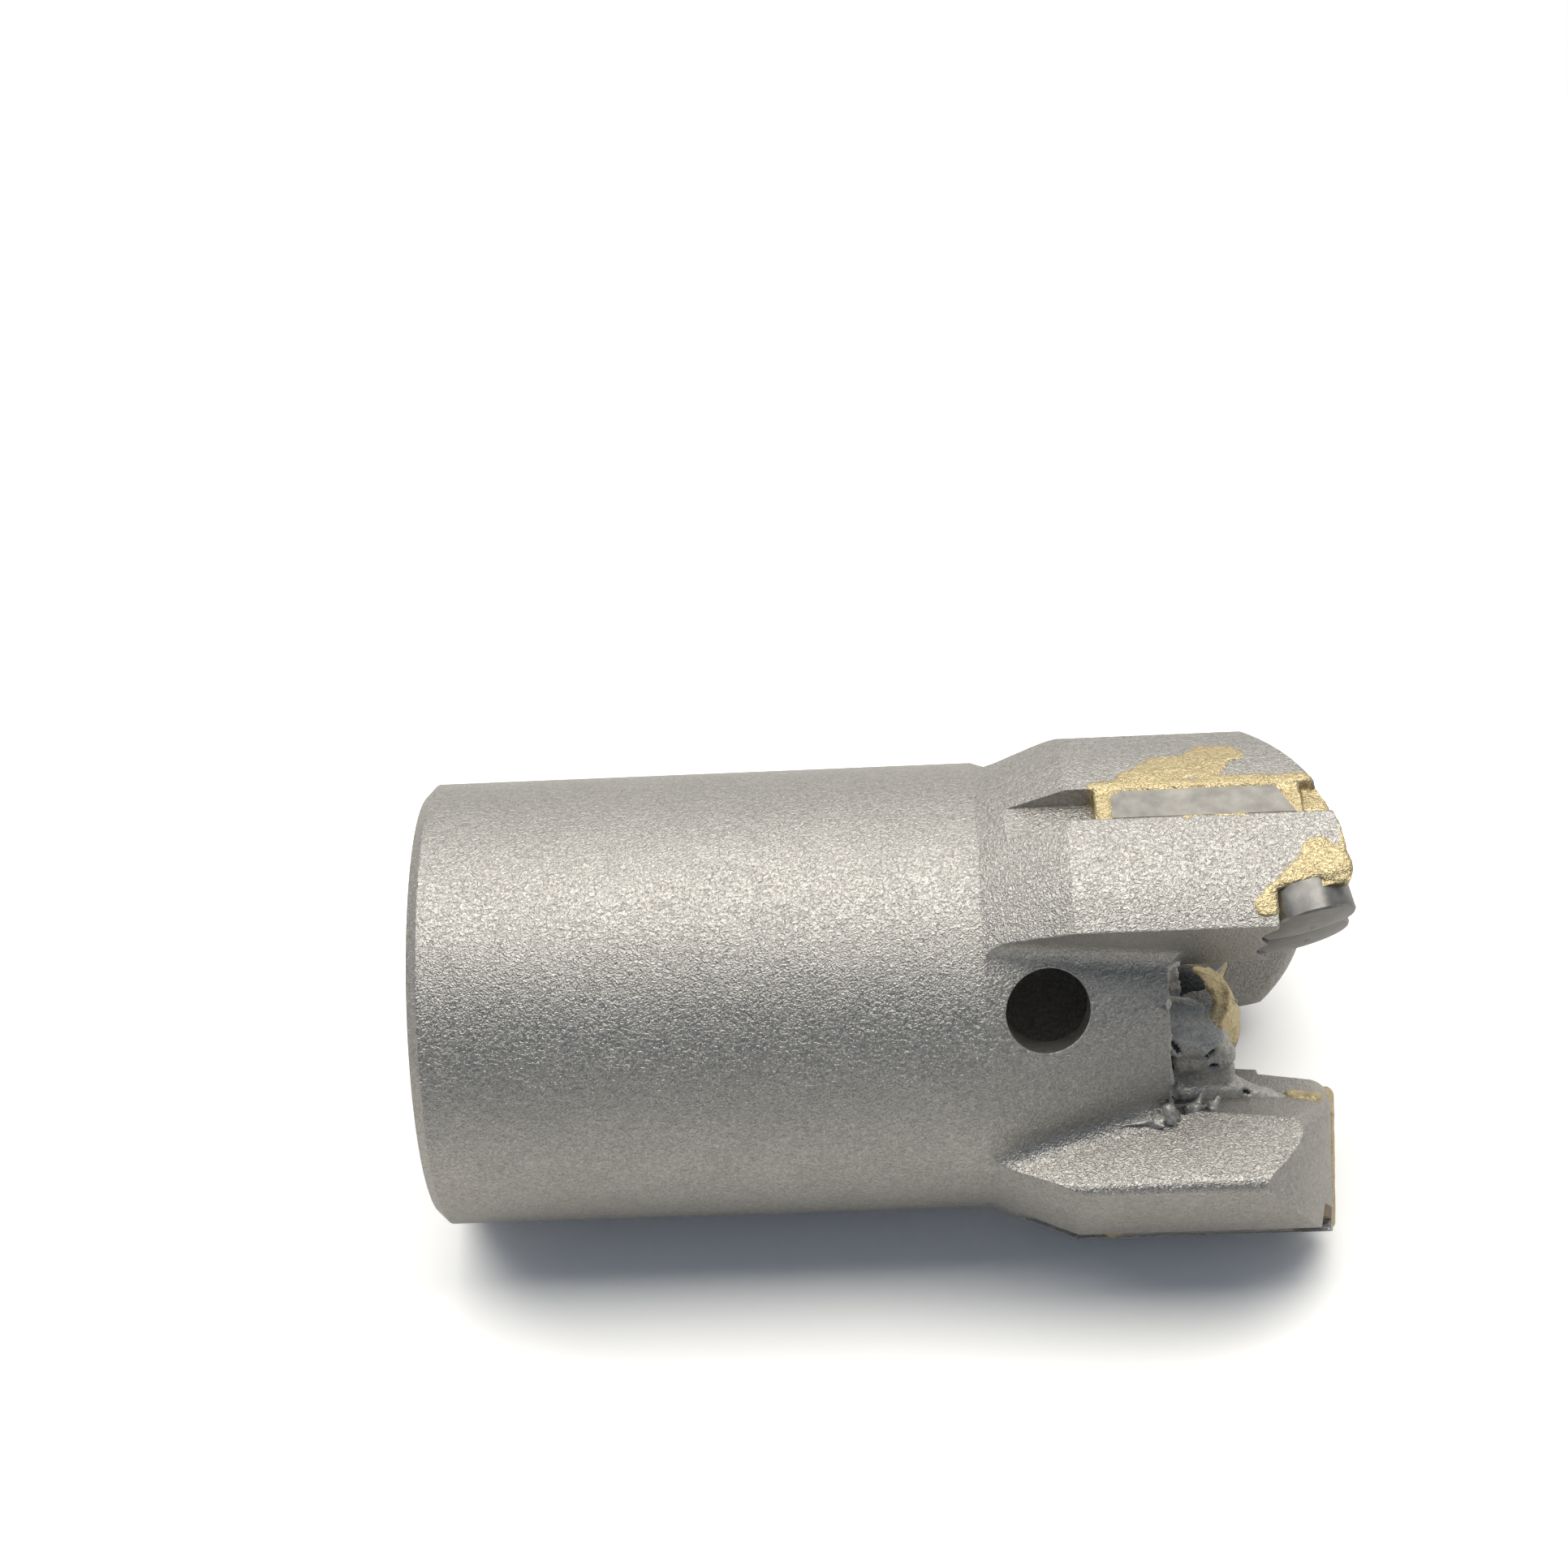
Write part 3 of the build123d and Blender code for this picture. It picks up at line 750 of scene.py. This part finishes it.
# painted shade: a black film in the corner by the hub rim at wing 2's root
painted_shade_film("wing_2_root_painted_shade", skin, ROOT_PAINTED_SHADE)
post_film("long_post_braze_film", skin, LONG_POST_BRAZE, seed=24)
rough_weld("seam_weld", skin, seam_strokes(), rounds=14, thickness=0.2, roughness=0.35, seed=31)
rough_weld("wing_root_weld", skin, root_strokes(), rounds=20, thickness=0.3, roughness=0.4, seed=37)
rough_weld("post_feet_weld", skin, POST_FEET, rounds=24, thickness=0.3, roughness=0.35, seed=47)
rough_weld("long_post_coat", skin, LONG_POST_COAT, rounds=10, thickness=0.25, roughness=0.25, seed=53)
weld_mass("short_post_weld", SHORT_POST_WELD, SHORT_POST_PITS, seed=41, relief=0.3)
root_drips = ROOT_TAIL + crumbs((102.6, -26.2, 0.3), (111.6, -23.2, -0.8), 26, 0.8, seed=5)
weld_mass("root_drips", root_drips, [], seed=43, relief=0.2)
weld_mass("web_lumps", WEB_LUMPS, [], seed=59, relief=0.22)
spatter([((106.4, -2.6, -15.7), 1.0), ((112.0, 13.6, -21.6), 0.55), ((116.0, -9.5, 5.4), 0.45)])
socket_thread()


# ---------------------------------------------------------------- floor, light and camera
FLOOR_HALF = 3.0
FLOOR_EXPOSURE = 1.5
FLOOR_FADE = (0.14, 0.32)


def floor():
    """A white table top under the bit, which the camera sees fade to plain white further out."""
    low = cad_box[0].z
    half = FLOOR_HALF
    mesh = bpy.data.meshes.new("floor")
    corners = [(-half, -half, low), (half, -half, low), (half, half, low), (-half, half, low)]
    mesh.from_pydata(corners, [], [(0, 1, 2, 3)])
    table = bpy.data.objects.new("floor", mesh)
    bpy.context.scene.collection.objects.link(table)
    material, tree, shader = new_material("white_table")
    shader.inputs["Base Color"].default_value = (0.78, 0.77, 0.75, 1)
    shader.inputs["Roughness"].default_value = 0.6
    shader.inputs["Specular IOR Level"].default_value = 0.2
    bright = tree.nodes.new("ShaderNodeBsdfDiffuse")
    bright.inputs["Color"].default_value = (*[FLOOR_EXPOSURE] * 3, 1)
    white = tree.nodes.new("ShaderNodeEmission")
    reach = tree.nodes.new("ShaderNodeVectorMath")
    reach.operation = "LENGTH"
    tree.links.new(position(tree), reach.inputs[0])
    far = fade(tree, reach.outputs["Value"], *FLOOR_FADE)
    fading = tree.nodes.new("ShaderNodeMixShader")
    tree.links.new(far, fading.inputs[0])
    tree.links.new(bright.outputs["BSDF"], fading.inputs[1])
    tree.links.new(white.outputs["Emission"], fading.inputs[2])
    seen = tree.nodes.new("ShaderNodeMixShader")
    tree.links.new(tree.nodes.new("ShaderNodeLightPath").outputs["Is Camera Ray"], seen.inputs[0])
    tree.links.new(shader.outputs["BSDF"], seen.inputs[1])
    tree.links.new(fading.outputs["Shader"], seen.inputs[2])
    tree.links.new(seen.outputs["Shader"], tree.nodes["Material Output"].inputs["Surface"])
    mesh.materials.append(material)


BRIGHT_SIDE = radians(20)


def world():
    """A white studio: bright overhead and behind, dimmer towards the front."""
    studio = bpy.data.worlds.new("studio")
    studio.use_nodes = True
    tree = studio.node_tree
    sky = tree.nodes["Background"]
    direction = tree.nodes.new("ShaderNodeTexCoord").outputs["Generated"]
    dot = tree.nodes.new("ShaderNodeVectorMath")
    dot.operation = "DOT_PRODUCT"
    tree.links.new(direction, dot.inputs[0])
    dot.inputs[1].default_value = (0, cos(BRIGHT_SIDE), sin(BRIGHT_SIDE))
    stops = [(0.0, (0.09, 0.115, 0.155)), (0.4, (0.4, 0.4, 0.4)), (1.0, (0.9, 0.89, 0.87))]
    level = ramp(tree, dot.outputs["Value"], stops)
    path = tree.nodes.new("ShaderNodeLightPath")
    colour = mix(tree, path.outputs["Is Camera Ray"], level, (1.0, 1.0, 1.0))
    tree.links.new(colour, sky.inputs["Color"])
    sky.inputs["Strength"].default_value = 1.0
    bpy.context.scene.world = studio


def softbox(name, place, target, width, length, watts, colour):
    """A rectangular soft light."""
    lamp = bpy.data.lights.new(name, "AREA")
    lamp.shape = "RECTANGLE"
    lamp.size = width
    lamp.size_y = length
    lamp.energy = watts
    lamp.color = colour
    light = bpy.data.objects.new(name, lamp)
    light.location = place
    light.rotation_euler = (Vector(target) - Vector(place)).to_track_quat("-Z", "Y").to_euler()
    bpy.context.scene.collection.objects.link(light)


CAMERA_PLACE = (0.07018, -0.29785, 0.36652)
CAMERA_TURN = (-5.047, 45.6, -6.041)
CAMERA_LENS = 73.3
CAMERA_SHIFT = (0.0515, -0.0512)


def camera():
    """A slightly rolled view from above the front, like a hand-held shot."""
    azimuth, elevation, roll = (radians(angle) for angle in CAMERA_TURN)
    ahead = Vector((sin(azimuth) * cos(elevation), cos(azimuth) * cos(elevation), -sin(elevation)))
    level = ahead.cross(Vector((0, 0, 1))).normalized()
    upright = level.cross(ahead)
    right = level * cos(roll) + upright * sin(roll)
    up = upright * cos(roll) - level * sin(roll)
    turn = Matrix((right, up, -ahead)).transposed().to_4x4()
    data = bpy.data.cameras.new("camera")
    data.lens = CAMERA_LENS
    data.sensor_width = 36
    data.shift_x, data.shift_y = CAMERA_SHIFT
    data.clip_start = 0.01
    view = bpy.data.objects.new("camera", data)
    view.matrix_world = Matrix.Translation(CAMERA_PLACE) @ turn
    bpy.context.scene.collection.objects.link(view)
    bpy.context.scene.camera = view


floor()
world()
middle = (cad_box[0] + cad_box[1]) / 2
softbox("key", (0.06, 0.08, 0.8), middle, width=1.3, length=0.55, watts=7.4, colour=(1.0, 0.965, 0.89))
camera()
bpy.context.scene.view_settings.view_transform = "Standard"
